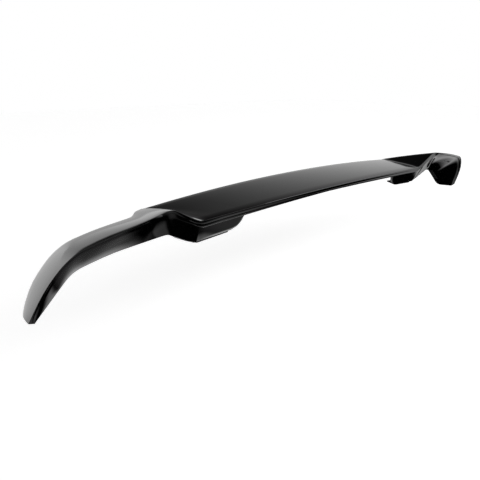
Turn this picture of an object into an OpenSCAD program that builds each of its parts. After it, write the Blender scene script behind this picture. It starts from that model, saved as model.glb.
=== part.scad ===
// Roof spoiler of a compact hatchback: two bonded shells with side fins and two hollow feet.
// X runs across the car, +Y towards its front and +Z up. Z is 0 at the blade's rear edge.

/* [Overall] */
// Half of the width over the fin tips
half_w = 604; // [575:1:640]
// Half of the blade's rear edge, to the foot of the ramp
blade_half = 332; // [318:1:346]

/* [Blade] */
// Rear edge of the blade: how far its middle lies ahead of its ends
edge_bow = 12.7; // [0:0.1:25]
// Front edge at the middle, ahead of the rear edge's ends
nose_y = 154.5; // [135:1:175]
// Front edge of the blade: how far its ends lie behind its middle
nose_bow = 18; // [5:1:30]
// Run of the front edge past the end of the rear edge
nose_over = 36; // [28:1:44]
// Height of the front edge at the middle
nose_z = 7; // [0:0.1:15]
// Fall of the front edge from the middle to its ends
nose_fall = 10.3; // [0:0.1:16]
// Rise of the top surface over a straight line, as on a wing
crown = 1.6; // [0:0.1:4]
// Height of the rear rim at the middle
rim_h = 10; // [9:0.1:14]
// Height of the rear rim at the blade's ends
rim_end_h = 12.5; // [10:0.1:16]
// Height of the front lip
nose_h = 8; // [7:0.1:12]
// Swell of the underside between rim and lip
belly = 3; // [0:0.1:8]

/* [Ramp] */
// Rear edge from the crease to the foot of the ramp
crease_run = 44; // [30:1:60]
// Run of the ramp, foot to top, across the car
ramp_run = 53; // [45:1:65]
// Height of the ramp's top over the blade
ramp_rise = 33.5; // [20:0.5:40]
// Rounding of the ramp's foot and top, along the edge
ramp_blend = 9; // [5:0.5:11]

/* [Fins] */
// Width of the fin from its bend to its tip
fin_w = 66; // [55:1:80]
// Height of the bend over the blade
bend_z = 5.5; // [-5:0.5:12]
// Drop of the fin tip under the blade
fin_drop = 94; // [80:1:105]
// Depth of the fin's root, front to back, under its top edge
fin_keel_y = 41; // [34:0.5:48]
// Length of the fin tip, front to back
tip_len = 55; // [45:1:65]
// Rounding of the tip's front corner
tip_r = 9; // [4:1:20]
// Length of the solid end that closes the fin tip
tip_solid = 4; // [3:0.5:8]

/* [Feet] */
// Length of the foot across the car
foot_len = 105; // [95:1:115]
// Outer corner of the foot, past the end of the blade's rear edge
foot_past = 8; // [2:1:14]
// Depth of the foot's outer corner under the blade
foot_drop = 42.5; // [36:0.5:50]
// Slope of the foot's base across the car, which follows the tailgate
foot_slope = 0.06; // [0:0.005:0.12]
// Rear edge of the foot's base, ahead of the rear edge's ends
foot_rear_y = 14; // [10:0.5:20]
// Front edge of the foot's base, ahead of the rear edge's ends
foot_front_y = 64; // [56:1:72]
// Flare of the foot from its inner end: depth gained for each unit of width
foot_flare = 0.83; // [0.6:0.01:1]
// Rounding of the inner end into the base
foot_toe_r = 28; // [20:1:36]
// Rounding of the base's rear edge
foot_edge_r = 7; // [3:0.5:9]

/* [Shells] */
// Thickness of the moulded walls
wall = 2.8; // [2.2:0.1:3.2]
// Height of the upper shell's rim, down to the seam
seam_h = 6.4; // [5.5:0.1:7]
// Gap of the bonded seam
seam_gap = 0.3; // [0.2:0.05:0.5]
// Step at the seam, by which the lower shell stands back
seam_step = 0.8; // [0:0.1:1.2]
// Rounding of the rear edge
edge_r = 1.6; // [0.8:0.1:2]
// Rounding of the front edge
nose_r = 3; // [2:0.1:5]

/* [Fixings] */
// Thread radius of the inserts in the feet
thread_r = 2.5; // [2:0.1:3]
// Outer radius of an insert
insert_r = 4.5; // [4:0.1:5.5]
// Length of an insert
insert_len = 12; // [8:0.5:15]
// Distance between a foot's two inserts
insert_pitch = 44; // [36:1:50]
// Wall of the boss round an insert
boss_wall = 3; // [2.5:0.1:4]
// Clearance of the inserts and the tape in their seats
fit_gap = 0.15; // [0.1:0.05:0.3]
// Thickness of the foam gasket under a foot
gasket_t = 2; // [1:0.5:3]
// Thickness of the foam tape inside the fins
tape_t = 1.1; // [0.8:0.1:2]

/* [Hidden] */

// Stations along the half span: the foot's ends, the crease, the ramp's top, the bend, the start
// of the keel, which is the lower edge of the rear face outside the foot, and the height of the tip
foot_out = blade_half + foot_past;
foot_in = foot_out - foot_len;
x_crease = blade_half - crease_run;
x_top = blade_half + ramp_run;
x_bend = half_w - fin_w;
arm_w = x_bend - x_top;
x_keel = x_top + arm_w * 0.052;
tip_z = 3 - fin_drop;

// Ends of the front edge, which runs on past the rear edge's ends
nose_end_x = blade_half + nose_over;
nose_end_y = nose_y - nose_bow;
nose_end_z = nose_z - nose_fall;

// Underside: set-in of the rim and lip, flat behind the rim, fin's upper band, front of the foot
rim_in = 1.2;
lip_in = 1.5;
rim_flat = 2;
band_h = 15;
foot_front_in = 4;
foot_front_run = 7;

// Underside of the upper shell's skin, with the seam's gap
roof = wall + seam_gap;
lip_r = 2;

// Inserts lie between the foot's rear and front walls
insert_edge = 14;
insert_y = (foot_rear_y + foot_front_y) / 2 - 3;
insert_x = [foot_out - insert_edge - insert_pitch, foot_out - insert_edge];
insert_lift = 1.2;
groove_depth = 0.8;
gasket_edge = 4;

// A rail is a list of [station, value, blend]: straight runs, with each corner rounded over
// the blend's length on both sides, or over less where two corners come close
function slope(k, j) = (k[j + 1][1] - k[j][1]) / (k[j + 1][0] - k[j][0]);
function straight(k, x) =
    let (j = min(len(k) - 2, len([for (q = k) if (q[0] <= x) 1]) - 1))
    k[j][1] + slope(k, j) * (x - k[j][0]);
function room(k, i, j) = k[i][2] + k[j][2] > 0 ? abs(k[i][0] - k[j][0]) / (k[i][2] + k[j][2]) : 1;
function reach(k, j) = k[j][2] * min(1, room(k, j - 1, j), room(k, j, j + 1));
function corner(k, j, d) =
    let (m0 = slope(k, j - 1), m1 = slope(k, j), r = reach(k, j))
    k[j][1] + (m0 + m1) / 2 * d + (m1 - m0) / (4 * r) * (d * d + r * r);
function rail(k, x) =
    let (near = [for (j = [1 : len(k) - 2]) if (abs(x - k[j][0]) < reach(k, j)) j])
    len(near) > 0 ? corner(k, near[0], x - k[near[0]][0]) : straight(k, x);

// Rear edge of the top surface: bow, crease, foot and top of the ramp, arm, bend, fin and tip
edge_keys = [
    [0, [0, edge_bow, 0], 0],
    [x_crease / 2, [x_crease / 2, edge_bow, 0], x_crease / 2],
    [x_crease, [x_crease, edge_bow / 4, 0], 0],
    [blade_half, [blade_half, 0, 0], ramp_blend],
    [x_top, [x_top, -7, ramp_rise], ramp_blend],
    [x_top + arm_w * 0.4, [x_top + arm_w * 0.4, -20, bend_z + ramp_rise * 0.6], arm_w * 0.25],
    [x_bend, [x_bend, -16, bend_z], fin_w * 0.32],
    [x_bend + fin_w * 0.6, [x_bend + fin_w * 0.6, -4, bend_z - fin_drop * 0.49], fin_w * 0.25],
    [half_w, [half_w - 2, 15, tip_z], 0]];

// Front edge of the top surface: bow, corner by the ramp, waist of the arm, bend, fin and tip
front_keys = [
    [0, [0, nose_y, nose_z], 0],
    [x_crease / 2, [nose_end_x / 2, nose_y, nose_z], x_crease / 2],
    [x_crease, [nose_end_x, nose_end_y, nose_end_z], 0],
    [x_top + arm_w * 0.046,
     [mix(nose_end_x, x_top, 0.53), nose_end_y + 3, nose_end_z - 1.5], arm_w * 0.032],
    [x_top + arm_w * 0.111, [x_keel, nose_end_y - 7, nose_end_z - 0.5], arm_w * 0.032],
    [x_top + arm_w * 0.288, [x_top + arm_w * 0.21, nose_y * 0.53, nose_end_z + 7.5], arm_w * 0.046],
    [x_top + arm_w * 0.7, [x_top + arm_w * 0.64, nose_y * 0.524, -3], arm_w * 0.144],
    [x_bend, [x_bend - 1, nose_y * 0.628, bend_z - fin_drop * 0.293], fin_w * 0.35],
    [x_bend + fin_w * 0.68,
     [x_bend + fin_w * 0.7, nose_y * 0.55, bend_z - fin_drop * 0.777], fin_w * 0.2],
    [half_w, [half_w, 14 + tip_len, tip_z - 10], 0]];

// Lower edge of the rear face: base of the foot, up to the keel's start, then along the fin
keel_keys = [
    [0, [0, foot_rear_y, foot_slope * foot_out - foot_drop], 0],
    [foot_out, [foot_out, foot_rear_y, -foot_drop], 12],
    [x_keel, [x_keel, 2, -9], arm_w * 0.026],
    [x_keel + arm_w * 0.144,
     [x_keel + arm_w * 0.144, fin_keel_y * 0.73, -fin_drop * 0.255], arm_w * 0.046],
    [x_top + arm_w * 0.55, [x_top + arm_w * 0.55, fin_keel_y, -fin_drop * 0.356], arm_w * 0.144],
    [x_bend - arm_w * 0.105, [x_bend - arm_w * 0.105, fin_keel_y, -fin_drop * 0.473], arm_w * 0.078],
    [x_bend + fin_w * 0.09, [x_bend, fin_keel_y * 0.78, -fin_drop * 0.51], fin_w * 0.136],
    [half_w, [half_w - 10, 20.5, tip_z - 6], 0]];

// Heights of the rim and of the front lip along the span
rim_keys = [[0, rim_h, 0], [foot_in, rim_end_h, 20], [half_w, rim_end_h, 0]];
lip_keys = [[0, nose_h, 0], [x_top, nose_h, 20], [half_w, nose_h * 0.7, 0]];

function unit(v) = v / norm(v);
function mix(a, b, t) = a + (b - a) * t;
function clamp(t) = min(1, max(0, t));
function ease(t) = let (c = clamp(t)) c * c * (3 - 2 * c);
function quarter(t) = let (c = clamp(t)) sqrt(1 - (1 - c) * (1 - c));

// The front corner of the tip is a quarter circle, which pulls the front edge back
function tip_pull(x) = tip_r * (1 - sqrt(1 - pow(clamp((x - half_w + tip_r) / tip_r), 2)));
// A section's plane holds the rear edge, the front edge and the keel: [origin, forward, down, width]
function plane_at(x) =
    let (t = rail(edge_keys, x), f = rail(front_keys, x), k = rail(keel_keys, x) - t)
    let (u = unit(f - t), w = unit(k - (k * u) * u))
    [t, u, w, norm(f - t) - tip_pull(x)];
function to_2d(p, v) = [(v - p[0]) * p[1], (v - p[0]) * p[2]];
function to_3d(p, v) = p[0] + v[0] * p[1] + v[1] * p[2];

// Points of a rounded corner at b, between a and c, set back by r on both sides
function round_corner(a, b, c, r, n) =
    let (s0 = min(r, norm(a - b) * 0.45), s1 = min(r, norm(c - b) * 0.45))
    let (p = b + unit(a - b) * s0, q = b + unit(c - b) * s1)
    [for (i = [0 : n]) let (t = i / n) mix(mix(p, b, t), mix(b, q, t), t)];

// Depth of the flat base of the foot under a point of a section's top line
function base_depth(p, a) =
    let (t = p[0], u = p[1], w = p[2])
    let (gap = foot_slope * (foot_out - t[0] - a * u[0]) - foot_drop - t[2] - a * u[2])
    gap / (w[2] + foot_slope * w[0]);
// Depth of the plain underside at a distance ahead of the rear edge
function under(x, p, a) =
    let (t = a / p[3])
    mix(rail(rim_keys, x), rail(lip_keys, x), t) + belly * 4 * t * (1 - t);

// Corners of the underside at a section: rim, foot or keel, and front lip. The inset narrows
// the foot at its inner end, for the hollow inside it
function chain(x, inset) =
    let (p = plane_at(x), width = p[3])
    let (keel = to_2d(p, rail(keel_keys, x)))
    let (on_fin = ease((x - foot_out) / (x_keel - foot_out)))
    let (xi = foot_in + inset)
    let (toe = quarter((x - xi) / foot_toe_r))
    let (rim = [rim_in, rail(rim_keys, x)])
    let (band = unit(keel) * min(band_h, norm(keel) * 0.6))
    let (lip = [width - lip_in, rail(lip_keys, x)])
    let (top_a = rim_in + rim_flat, wall_top = [top_a, under(x, p, top_a)])
    let (low_a = mix(top_a + 3, keel[0], toe))
    let (low = [low_a, mix(under(x, p, low_a), base_depth(p, low_a), toe)])
    let (far_a = min(foot_front_y - p[0][1], keel[0] + foot_front_in + foot_flare * max(0, x - xi)))
    let (far = [far_a, mix(under(x, p, far_a), base_depth(p, far_a), toe)])
    let (front_a = far_a + foot_front_run, far_top = [front_a, under(x, p, front_a)])
    x < foot_out
    ? [rim, wall_top, low, far, far_top, lip]
    : [mix(rim, band, on_fin), mix(wall_top, mix(band, keel, 0.5), on_fin), keel,
       mix([far_a, min(base_depth(p, far_a), keel[1])], mix(keel, lip, 0.15), on_fin),
       mix(far_top, mix(keel, lip, 0.6), on_fin), lip];
function left_of(v) = [v[1], -v[0]];

// Corner i of a chain, moved in by the wall from both of its sides
function inner(c, before, after, i) =
    let (a = i == 0 ? before : c[i - 1], b = i == len(c) - 1 ? after : c[i + 1])
    let (n0 = left_of(unit(c[i] - a)), n1 = left_of(unit(b - c[i])))
    c[i] + wall * (n0 + n1) / max(0.5, 1 + n0 * n1);

// Height of the seam in the front lip: halfway, and clear of the upper shell's skin
function seam_at_lip(c) = max(c[5][1] / 2, wall + 0.4);

// Closed outline of the upper shell at a section
function upper_outline(x) =
    let (p = plane_at(x), width = p[3], c = chain(x, 0))
    let (rear = unit(c[0]), cut = rear * seam_h, into = [rear[1], -rear[0]])
    let (depth = min(wall, (cut[1] - wall - 0.1) / max(0.1, -into[1])))
    let (cut_in = cut + into * (into[1] > -0.05 ? wall : depth))
    let (heel = [cut_in[0] - rear[0] * (cut_in[1] - wall) / rear[1], wall])
    let (lip_b = seam_at_lip(c))
    concat(
        [cut],
        round_corner(cut, [0, 0], [width, 0], edge_r, 3),
        [for (t = [0.15, 0.35, 0.65, 0.88]) [width * t, -crown * 4 * t * (1 - t)]],
        round_corner([0, 0], [width, 0], [width, width], nose_r, 3),
        [[width, lip_b], [width - wall, lip_b], [width - wall, wall]],
        [for (t = [0.88, 0.65, 0.35]) [width * t, wall - crown * 4 * t * (1 - t)]],
        [heel, cut_in]);

// Closed outline of the lower shell at a section
function lower_outline(x) =
    let (p = plane_at(x), width = p[3], c = chain(x, 0), ci = chain(x, wall))
    let (rear = unit(c[0]), into = [rear[1], -rear[0]])
    let (cut = rear * (seam_h + seam_gap) + into * seam_step)
    let (thick = into[1] > -0.05 ? wall : min(wall, (cut[1] - roof) / -into[1]))
    let (cut_in = cut + into * (thick - seam_step))
    let (lip_b = seam_at_lip(c) + seam_gap)
    let (front = [width, lip_b], soft_r = mix(foot_edge_r, lip_r, ease((x - foot_out) / ramp_run)))
    let (solid = x > half_w - tip_solid)
    let (hollow = [for (i = [len(c) - 1 : -1 : 0]) inner(ci, cut, front, i)])
    let (floor = [for (h = hollow) solid ? [h[0], roof] : [h[0], max(roof, h[1])]])
    concat(
        [cut],
        round_corner(cut, c[0], c[1], lip_r, 2),
        [c[1]],
        round_corner(c[1], c[2], c[3], soft_r, 3),
        round_corner(c[2], c[3], c[4], soft_r, 2),
        [c[4]],
        round_corner(c[4], c[5], front, lip_r, 1),
        [front, [width - wall, lip_b]],
        floor,
        [cut_in]);

// Sections along the half span, close together where the form turns
function spread(a, b, n) = [for (i = [0 : n - 1]) mix(a, b, i / n)];
function toe_steps(n) = [for (i = [0 : n - 1]) foot_in + foot_toe_r * (1 - cos(90 * i / n))];
stations = concat(
    spread(0, foot_in - 2, 8),
    toe_steps(8),
    spread(foot_in + foot_toe_r, x_crease, 3),
    spread(x_crease, blade_half - ramp_blend, 3),
    spread(blade_half - ramp_blend, blade_half + ramp_blend, 6),
    spread(blade_half + ramp_blend, x_top - ramp_blend, 3),
    spread(x_top - ramp_blend, x_top + ramp_blend, 6),
    spread(x_top + ramp_blend, x_top + arm_w / 3, 8),
    spread(x_top + arm_w / 3, x_bend - fin_w / 3, 5),
    spread(x_bend - fin_w / 3, x_bend + fin_w / 3, 9),
    spread(x_bend + fin_w / 3, half_w - tip_r, 4),
    spread(half_w - tip_r, half_w - tip_solid, 4),
    [half_w - tip_solid, half_w - tip_solid + 0.01],
    spread(half_w - tip_solid * 0.6, half_w, 2),
    [half_w]);

// Skin through the closed outlines of all sections, left tip to right tip
module loft(sections) {
    n = len(sections[0]);
    m = len(sections);
    points = [for (s = sections) each s];
    sides = [
        for (j = [0 : m - 2], i = [0 : n - 1])
        let (a = j * n + i, b = j * n + (i + 1) % n)
        each [[a, b, b + n], [a, b + n, a + n]]];
    ends = [[for (i = [n - 1 : -1 : 0]) i], [for (i = [0 : n - 1]) (m - 1) * n + i]];
    polyhedron(points, concat(sides, ends), convexity = 10);
}
function flip(s) = [for (v = s) [-v[0], v[1], v[2]]];
function whole_span(half) = concat([for (j = [len(half) - 1 : -1 : 1]) flip(half[j])], half);

module upper_shell() {
    half = [for (x = stations) let (p = plane_at(x)) [for (v = upper_outline(x)) to_3d(p, v)]];
    color([0.05, 0.05, 0.055]) loft(whole_span(half));
}

// Outer skin and hollow of the lower shell, before the bosses
module lower_skin() {
    half = [
        for (x = stations)
        let (p = plane_at(x), s = lower_outline(x))
        [for (i = [len(s) - 1 : -1 : 0]) to_3d(p, s[i])]];
    loft(whole_span(half));
}

// Height of the foot's base at a place on the car's width
function base_z(x) = foot_slope * (foot_out - x) - foot_drop;

// Place of a foot's insert, 0 the inner and 1 the outer one, above the base
module at_insert(side, i, lift) {
    translate([side * insert_x[i], insert_y, base_z(insert_x[i]) + lift]) children();
}
module bosses() {
    for (side = [-1, 1], i = [0, 1])
        at_insert(side, i, wall / 2) cylinder(h = insert_len, r = insert_r + boss_wall, $fn = 48);
}
module insert_holes() {
    for (side = [-1, 1], i = [0, 1])
        at_insert(side, i, -wall)
        cylinder(h = insert_len + 3 * wall, r = insert_r + fit_gap, $fn = 48);
}
module lower_shell() {
    color([0.12, 0.12, 0.13])
    difference() {
        union() {
            lower_skin();
            bosses();
        }
        insert_holes();
    }
}

// Brass insert with a threaded bore and two grooves that key it in its boss
module threaded_insert(side, i) {
    groove = insert_len / 8;
    color([0.8, 0.62, 0.3]) at_insert(side, i, insert_lift)
    rotate_extrude($fn = 64) polygon([
        [thread_r, 0], [insert_r, 0],
        [insert_r, groove * 2], [insert_r - groove_depth, groove * 2],
        [insert_r - groove_depth, groove * 3], [insert_r, groove * 3],
        [insert_r, groove * 5], [insert_r - groove_depth, groove * 5],
        [insert_r - groove_depth, groove * 6], [insert_r, groove * 6],
        [insert_r, insert_len], [thread_r, insert_len]]);
}

// Foam gasket under the flat base of a foot, tilted with it and holed for the screws
module gasket(side) {
    x0 = foot_in + foot_toe_r;
    rear = foot_rear_y + gasket_edge;
    front = foot_front_y - 2 * gasket_edge;
    corners = [[x0, rear], [foot_out - 6, rear], [foot_out + 6, front], [x0 + 22, front]];
    color([0.2, 0.2, 0.2])
    difference() {
        translate([0, 0, base_z(0)]) rotate([0, side * atan(foot_slope), 0])
        translate([0, 0, -gasket_t]) linear_extrude(gasket_t)
        offset(r = gasket_edge) offset(delta = -gasket_edge)
        polygon([for (v = corners) [side * v[0], v[1]]]);
        for (i = [0, 1])
            at_insert(side, i, -insert_len) cylinder(h = 2 * insert_len, r = insert_r + 1, $fn = 48);
    }
}

// Strip of foam tape along the inner face of a fin, from under the arm to the tip
function tape_outline(x) =
    let (p = plane_at(x), c = chain(x, 0), way = unit(c[5] - c[4]), out = [-way[1], way[0]])
    let (a = mix(c[4], c[5], 0.12), b = mix(c[4], c[5], 0.75), glue = out * 2 * fit_gap)
    [for (v = [a + glue, b + glue, b + out * tape_t, a + out * tape_t]) to_3d(p, v)];
module fin_tape(side) {
    strip = [for (x = stations) if (x > x_bend - arm_w / 2 && x < half_w - tip_r - 1) tape_outline(x)];
    color([0.3, 0.3, 0.3]) mirror([side < 0 ? 1 : 0, 0, 0]) loft(strip);
}

upper_shell();
lower_shell();
threaded_insert(-1, 1);  // insert_left_outer
threaded_insert(-1, 0);  // insert_left_inner
threaded_insert(1, 0);  // insert_right_inner
threaded_insert(1, 1);  // insert_right_outer
gasket(-1);  // gasket_left
gasket(1);  // gasket_right
fin_tape(-1);  // tape_fin_left
fin_tape(1);  // tape_fin_right
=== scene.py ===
# Roof spoiler of a compact hatchback, gloss black, on a pale studio floor.
import math

import bmesh
import bpy
from mathutils import Matrix, Vector


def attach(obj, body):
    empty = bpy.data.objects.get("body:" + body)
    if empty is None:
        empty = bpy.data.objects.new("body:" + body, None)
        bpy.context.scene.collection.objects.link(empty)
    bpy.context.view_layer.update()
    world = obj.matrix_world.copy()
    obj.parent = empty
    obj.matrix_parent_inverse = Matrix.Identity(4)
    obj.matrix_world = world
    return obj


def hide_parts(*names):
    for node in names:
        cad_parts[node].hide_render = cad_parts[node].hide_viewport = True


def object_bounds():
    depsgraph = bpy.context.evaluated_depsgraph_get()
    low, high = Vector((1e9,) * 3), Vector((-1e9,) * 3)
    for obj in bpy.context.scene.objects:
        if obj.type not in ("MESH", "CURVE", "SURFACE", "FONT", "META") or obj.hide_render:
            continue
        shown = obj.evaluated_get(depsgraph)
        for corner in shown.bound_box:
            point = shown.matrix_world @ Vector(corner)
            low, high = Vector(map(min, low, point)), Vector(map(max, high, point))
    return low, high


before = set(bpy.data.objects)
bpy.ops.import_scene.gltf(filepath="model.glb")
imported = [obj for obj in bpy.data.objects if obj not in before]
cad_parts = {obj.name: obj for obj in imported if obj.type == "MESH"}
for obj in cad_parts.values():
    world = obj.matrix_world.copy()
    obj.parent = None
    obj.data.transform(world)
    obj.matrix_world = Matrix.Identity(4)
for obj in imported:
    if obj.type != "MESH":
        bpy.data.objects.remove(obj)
cad_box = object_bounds()

# Camera: a phone-like lens held off the left fin, above the blade, as in the photograph.
# Its angles are in radians, and its focal length is in pixels of the square picture.
camera_mm = (-626.6, -495.6, 208.1)
camera_yaw = 0.64493
camera_pitch = -0.39897
camera_roll = -0.00956
camera_focal_px = 374.0
picture_px = 480.0

forward = Vector((
    math.sin(camera_yaw) * math.cos(camera_pitch),
    math.cos(camera_yaw) * math.cos(camera_pitch),
    math.sin(camera_pitch)))
level_right = Vector((math.cos(camera_yaw), -math.sin(camera_yaw), 0.0))
level_up = level_right.cross(forward)
right = level_right * math.cos(camera_roll) + level_up * math.sin(camera_roll)
up = level_up * math.cos(camera_roll) - level_right * math.sin(camera_roll)
camera_data = bpy.data.cameras.new("camera")
camera_data.sensor_width = 36.0
camera_data.lens = camera_data.sensor_width * camera_focal_px / picture_px
camera_data.clip_start = 0.01
camera_data.clip_end = 50.0
camera = bpy.data.objects.new("camera", camera_data)
turn = Matrix((right, up, -forward)).transposed()
camera.matrix_world = Matrix.Translation(Vector(camera_mm) / 1000.0) @ turn.to_4x4()
bpy.context.scene.collection.objects.link(camera)
bpy.context.scene.camera = camera


# Upper shell: the injection-moulded ABS top skin, sprayed in gloss black with a clear coat and
# polished. The long blade, the ramps and the tops of the fins are one moulding.
peel_mm = 3.0
haze_mm = 111.1
paint_black = "040404"
true_edge_deg = 28.0


def hex_colour(code):
    """Linear colour of an sRGB hex value such as "1a1a1c"."""
    channels = [int(code[i:i + 2], 16) / 255.0 for i in (0, 2, 4)]
    linear = [c / 12.92 if c <= 0.04045 else ((c + 0.055) / 1.055) ** 2.4 for c in channels]
    return (*linear, 1.0)


def add_node(tree, kind, settings=None, inputs=None, links=None):
    """Add a node, set its properties and inputs, and link sockets of other nodes to its inputs."""
    node = tree.nodes.new(kind)
    for name, value in (settings or {}).items():
        setattr(node, name, value)
    for name, value in (inputs or {}).items():
        node.inputs[name].default_value = value
    for name, source in (links or {}).items():
        tree.links.new(source, node.inputs[name])
    return node


def gloss_black_paint(name):
    """Sprayed gloss black under a polished clear coat: deep, sharp reflections, which a trace of
    orange peel bends and a slow change of polish softens in places."""
    material = bpy.data.materials.new(name)
    material.use_nodes = True
    tree = material.node_tree
    tree.nodes.clear()
    place = add_node(tree, "ShaderNodeTexCoord")
    peel = add_node(
        tree, "ShaderNodeTexNoise", {"noise_dimensions": "3D"},
        {"Scale": 1000.0 / peel_mm, "Detail": 2.0, "Roughness": 0.45},
        {"Vector": place.outputs["Object"]})
    bump = add_node(
        tree, "ShaderNodeBump", None, {"Strength": 0.02, "Distance": 0.0002},
        {"Height": peel.outputs["Fac"]})
    haze = add_node(
        tree, "ShaderNodeTexNoise", {"noise_dimensions": "3D"},
        {"Scale": 1000.0 / haze_mm, "Detail": 3.0, "Roughness": 0.5},
        {"Vector": place.outputs["Object"]})
    polish = add_node(
        tree, "ShaderNodeMapRange", None,
        {"From Min": 0.3, "From Max": 0.7, "To Min": 0.045, "To Max": 0.075},
        {"Value": haze.outputs["Fac"]})
    paint = add_node(
        tree, "ShaderNodeBsdfPrincipled", None,
        {"Base Color": hex_colour(paint_black), "IOR": 1.5, "Metallic": 0.0},
        {"Roughness": polish.outputs["Result"], "Normal": bump.outputs["Normal"]})
    add_node(tree, "ShaderNodeOutputMaterial", None, None, {"Surface": paint.outputs["BSDF"]})
    return material


def painted_moulding(shell, name, paint):
    """A shell's own mesh, welded, shaded smooth between its true edges and painted, which stands
    for its solid and keeps its size."""
    welded = bmesh.new()
    welded.from_mesh(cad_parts[shell].data)
    bmesh.ops.remove_doubles(welded, verts=welded.verts, dist=1e-6)
    mesh = bpy.data.meshes.new(name)
    welded.to_mesh(mesh)
    welded.free()
    for old_shading in ("custom_normal", "sharp_edge", "sharp_face"):
        if old_shading in mesh.attributes:
            mesh.attributes.remove(mesh.attributes[old_shading])
    moulding = bpy.data.objects.new(name, mesh)
    bpy.context.scene.collection.objects.link(moulding)
    mesh.shade_smooth()
    mesh.set_sharp_from_angle(angle=math.radians(true_edge_deg))
    mesh.materials.append(paint)
    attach(moulding, "root")
    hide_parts(shell)


painted_moulding(
    "upper_shell", "upper_shell_painted", gloss_black_paint("gloss_black_paint_upper"))

# Lower shell: the moulded ABS underside with the hollow feet, bonded to the upper one
# along the seam under the rim, and painted with it.
painted_moulding(
    "lower_shell", "lower_shell_painted", gloss_black_paint("gloss_black_paint_lower"))


# Inserts: turned brass bushes with an M6 thread, pressed warm into the feet.
# Only their lower ends show, inside the holes in the gaskets.
brass_yellow = "c8a050"
turning_mark_mm = 0.714


def turned_brass():
    """Free-cutting brass, turned and left bright: a warm metal whose fine marks blur the shine."""
    material = bpy.data.materials.new("turned_brass")
    material.use_nodes = True
    tree = material.node_tree
    tree.nodes.clear()
    place = add_node(tree, "ShaderNodeTexCoord")
    marks = add_node(
        tree, "ShaderNodeTexNoise", {"noise_dimensions": "3D"},
        {"Scale": 1000.0 / turning_mark_mm, "Detail": 2.0}, {"Vector": place.outputs["Object"]})
    rough = add_node(
        tree, "ShaderNodeMapRange", None, {"To Min": 0.22, "To Max": 0.36},
        {"Value": marks.outputs["Fac"]})
    metal = add_node(
        tree, "ShaderNodeBsdfPrincipled", None,
        {"Base Color": hex_colour(brass_yellow), "Metallic": 1.0},
        {"Roughness": rough.outputs["Result"]})
    add_node(tree, "ShaderNodeOutputMaterial", None, None, {"Surface": metal.outputs["BSDF"]})
    return material


def dress(node_names, finish):
    """Give the solids of these nodes a finish in place of their plain one."""
    for node_name in node_names:
        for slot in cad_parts[node_name].material_slots:
            slot.material = finish


dress(
    ("insert_left_outer", "insert_left_inner", "insert_right_outer", "insert_right_inner"),
    turned_brass())

# Gaskets and tape: black closed-cell foam, cut from sheet. The gaskets seal the feet on the
# tailgate, and the tape holds the inner faces of the fins to the car.
cell_mm = 0.9
painted_pit_shade = "1c1c1d"
foam_skin = "2a2a2b"


def closed_cell_foam():
    """Closed-cell EPDM foam, cut from sheet: a matt black skin, pitted with fine open cells whose
    hollows are darkened with painted shade.
    """
    material = bpy.data.materials.new("closed_cell_foam")
    material.use_nodes = True
    tree = material.node_tree
    tree.nodes.clear()
    place = add_node(tree, "ShaderNodeTexCoord")
    cells = add_node(
        tree, "ShaderNodeTexVoronoi", {"feature": "F1"}, {"Scale": 1000.0 / cell_mm},
        {"Vector": place.outputs["Object"]})
    bump = add_node(
        tree, "ShaderNodeBump", None, {"Strength": 0.4, "Distance": 0.0002},
        {"Height": cells.outputs["Distance"]})
    # Painted shade: each open cell is darker towards its floor, where the bump is lowest.
    shade = add_node(
        tree, "ShaderNodeMix", {"data_type": "RGBA"},
        {"A": hex_colour(painted_pit_shade), "B": hex_colour(foam_skin)},
        {"Factor": cells.outputs["Distance"]})
    foam = add_node(
        tree, "ShaderNodeBsdfPrincipled", None, {"Roughness": 0.9, "IOR": 1.45},
        {"Base Color": shade.outputs["Result"], "Normal": bump.outputs["Normal"]})
    add_node(tree, "ShaderNodeOutputMaterial", None, None, {"Surface": foam.outputs["BSDF"]})
    return material


dress(("gasket_left", "gasket_right", "tape_fin_left", "tape_fin_right"), closed_cell_foam())
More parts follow.
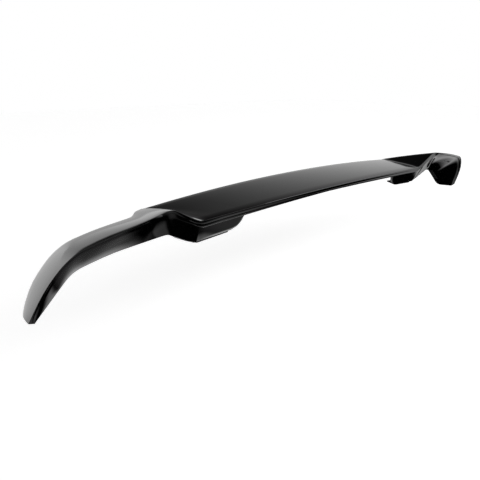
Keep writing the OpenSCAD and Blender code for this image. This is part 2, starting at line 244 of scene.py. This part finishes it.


# Floor: a wide sheet of white paper below the spoiler, near white to the camera, with a faint
# shadow. The paint mirrors only painted patches of light on it. No lamp lights them, and they glow
# for reflections alone, as painted reflections. The floor near the spoiler is left dark as painted
# shade. Each patch is a level and its limits, and each limit is an axis with the places along it, in
# metres, where the patch starts and where it is full.
floor_drop_m = 0.12
floor_size_m = 14.0
paper_grey = "e6e6e6"
paper_glow = 0.79
x_axis = (1.0, 0.0, 0.0)
y_axis = (0.0, 1.0, 0.0)
z_axis = (0.0, 0.0, 1.0)
ahead = (((0.33, 1.0, 0.0), -0.01, 0.09), ((-1.0, 1.0, 0.0), -0.35, -0.1))
painted_reflection_patches = (
    # All the floor ahead of the blade, brighter to the left.
    (0.62, ahead),
    (0.38, (*ahead, (x_axis, -0.2, -0.7))),
    # Behind the middle of the blade, with a brighter core.
    (0.32, (
        (x_axis, -0.24, -0.10), (x_axis, 0.36, 0.20), (y_axis, 0.0, -0.08), (y_axis, -0.42, -0.34))),
    (0.6, (
        (x_axis, -0.12, -0.04), (x_axis, 0.20, 0.08), (y_axis, -0.20, -0.25), (y_axis, -0.34, -0.29))),
    # Behind the left arm, under the arm, and under the left fin, for painted reflections in their rear
    # faces.
    (0.5, (
        (x_axis, -0.30, -0.42), (x_axis, -0.60, -0.54), (y_axis, 0.03, 0.0), (y_axis, -0.2, -0.12))),
    (0.1, (
        (x_axis, -0.33, -0.365), (x_axis, -0.47, -0.44), (y_axis, 0.0, 0.05), (y_axis, 0.2, 0.16))),
    (0.6, (
        (x_axis, -0.462, -0.48), (x_axis, -0.56, -0.53), (y_axis, 0.07, 0.10), (y_axis, 0.3, 0.2))),
    # Beside the left foot, for a painted reflection along its lower edge.
    (2.0, (
        (x_axis, -0.25, -0.18), (x_axis, 0.1, 0.0), (y_axis, -0.065, -0.02), (y_axis, 0.12, 0.08))),
    # Outside the right fin, for a painted reflection in the side of the right foot, and all the floor
    # to the far right.
    (1.2, ((x_axis, 0.65, 0.74), (y_axis, -0.145, -0.12), (y_axis, 0.045, -0.02))),
    (1.3, (((1.0, -1.0, 0.0), 1.05, 1.35),)),
)


def light_pattern(tree, place, patches):
    """Sum of the soft-edged patches of light at a place, or towards a direction."""
    summed = None
    for level, limits in patches:
        value = add_node(tree, "ShaderNodeValue")
        value.outputs["Value"].default_value = level
        patch = value.outputs["Value"]
        for axis, start, full in limits:
            along = add_node(
                tree, "ShaderNodeVectorMath", {"operation": "DOT_PRODUCT"}, {1: axis}, {0: place})
            edge = add_node(
                tree, "ShaderNodeMapRange", {"interpolation_type": "SMOOTHSTEP"},
                {"From Min": start, "From Max": full}, {"Value": along.outputs["Value"]})
            part = add_node(
                tree, "ShaderNodeMath", {"operation": "MULTIPLY"}, None,
                {0: edge.outputs["Result"], 1: patch})
            patch = part.outputs["Value"]
        if summed is None:
            summed = patch
        else:
            both = add_node(
                tree, "ShaderNodeMath", {"operation": "ADD"}, None, {0: summed, 1: patch})
            summed = both.outputs["Value"]
    return summed


def white_paper():
    """White studio paper. Its own shade lights the spoiler. Its painted patches of light glow for
    reflections alone and show in the paint as painted reflections. The camera sees its shade with a
    plain glow added, so that only the shadow stays grey."""
    material = bpy.data.materials.new("white_paper")
    material.use_nodes = True
    tree = material.node_tree
    tree.nodes.clear()
    ray = add_node(tree, "ShaderNodeLightPath")
    place = add_node(tree, "ShaderNodeNewGeometry")
    shade = add_node(
        tree, "ShaderNodeBsdfPrincipled", None,
        {"Base Color": hex_colour(paper_grey), "Roughness": 0.9})
    # Painted reflections: patches of glow that only glossy rays see, in place of a lit floor.
    patches = add_node(
        tree, "ShaderNodeEmission", None, None,
        {"Strength": light_pattern(tree, place.outputs["Position"], painted_reflection_patches)})
    glow = add_node(tree, "ShaderNodeEmission", None, {"Strength": paper_glow})
    seen = add_node(
        tree, "ShaderNodeAddShader", None, None,
        {0: shade.outputs["BSDF"], 1: glow.outputs["Emission"]})
    mirrored = add_node(
        tree, "ShaderNodeMixShader", None, None,
        {0: ray.outputs["Is Glossy Ray"], 1: shade.outputs["BSDF"], 2: patches.outputs["Emission"]})
    sheet = add_node(
        tree, "ShaderNodeMixShader", None, None,
        {0: ray.outputs["Is Camera Ray"], 1: mirrored.outputs["Shader"], 2: seen.outputs["Shader"]})
    add_node(tree, "ShaderNodeOutputMaterial", None, None, {"Surface": sheet.outputs["Shader"]})
    return material


half = floor_size_m / 2.0
floor_z = min(corner[2] for corner in cad_box) - floor_drop_m
floor_mesh = bpy.data.meshes.new("studio_floor")
floor_mesh.from_pydata(
    [(-half, -half, floor_z), (half, -half, floor_z), (half, half, floor_z), (-half, half, floor_z)],
    [], [(0, 1, 2, 3)])
floor_mesh.materials.append(white_paper())
floor = bpy.data.objects.new("studio_floor", floor_mesh)
bpy.context.scene.collection.objects.link(floor)

# Studio: the dim room that the paint mirrors, plain white to the camera. Its patches have levels
# and limits as the floor's have, along the direction that a ray goes.
room_patches = (
    # The room's own dim light.
    (0.03, ()),
    # A front wall that brightens to the right and towards the floor.
    (0.80, (((1.0, 0.0, -1.1), -0.05, 0.68), (z_axis, -0.12, 0.0), (y_axis, -0.35, -0.1))),
    # A low strip along the front, which ends at the right and is brighter to the left.
    (0.55, ((z_axis, 0.16, 0.11), (x_axis, 0.78, 0.62), (y_axis, 0.1, 0.3))),
    (0.50, ((z_axis, 0.16, 0.11), (x_axis, 0.0, -0.25), (y_axis, 0.1, 0.3))),
    # A low strip at the back right, and a high one across the back.
    (1.2, ((z_axis, 0.2, 0.05), (x_axis, 0.5, 0.7), (y_axis, 0.0, -0.3))),
    (1.0, ((y_axis, -0.3, -0.42), (z_axis, 0.2, 0.4), (z_axis, 0.85, 0.7))),
)
world = bpy.data.worlds.new("studio")
bpy.context.scene.world = world
world.use_nodes = True
room_tree = world.node_tree
room_tree.nodes.clear()
room_ray = add_node(room_tree, "ShaderNodeLightPath")
towards = add_node(room_tree, "ShaderNodeTexCoord")
room_light = add_node(
    room_tree, "ShaderNodeBackground", None, {"Color": (1.0, 1.0, 1.0, 1.0)},
    {"Strength": light_pattern(room_tree, towards.outputs["Generated"], room_patches)})
plain_white = add_node(
    room_tree, "ShaderNodeBackground", None, {"Color": (1.0, 1.0, 1.0, 1.0), "Strength": 1.0})
room = add_node(
    room_tree, "ShaderNodeMixShader", None, None,
    {0: room_ray.outputs["Is Camera Ray"], 1: room_light.outputs["Background"],
     2: plain_white.outputs["Background"]})
add_node(room_tree, "ShaderNodeOutputWorld", None, None, {"Surface": room.outputs["Shader"]})

# Soft box: one lamp at the right, behind and above the spoiler, aimed at its middle.
# It draws the fine light lines along the rim.
box_towards = Vector((0.72, -0.47, 0.50))
box_distance_m = 2.5
box_width_m = 2.0
box_height_m = 0.9
box_watts = 13.6
box_lamp = bpy.data.lights.new("soft_box", "AREA")
box_lamp.shape = "RECTANGLE"
box_lamp.size = box_width_m
box_lamp.size_y = box_height_m
box_lamp.energy = box_watts
soft_box = bpy.data.objects.new("soft_box", box_lamp)
soft_box.location = box_towards.normalized() * box_distance_m
soft_box.rotation_euler = (-soft_box.location).to_track_quat("-Z", "Y").to_euler()
bpy.context.scene.collection.objects.link(soft_box)

bpy.context.scene.view_settings.view_transform = "Standard"
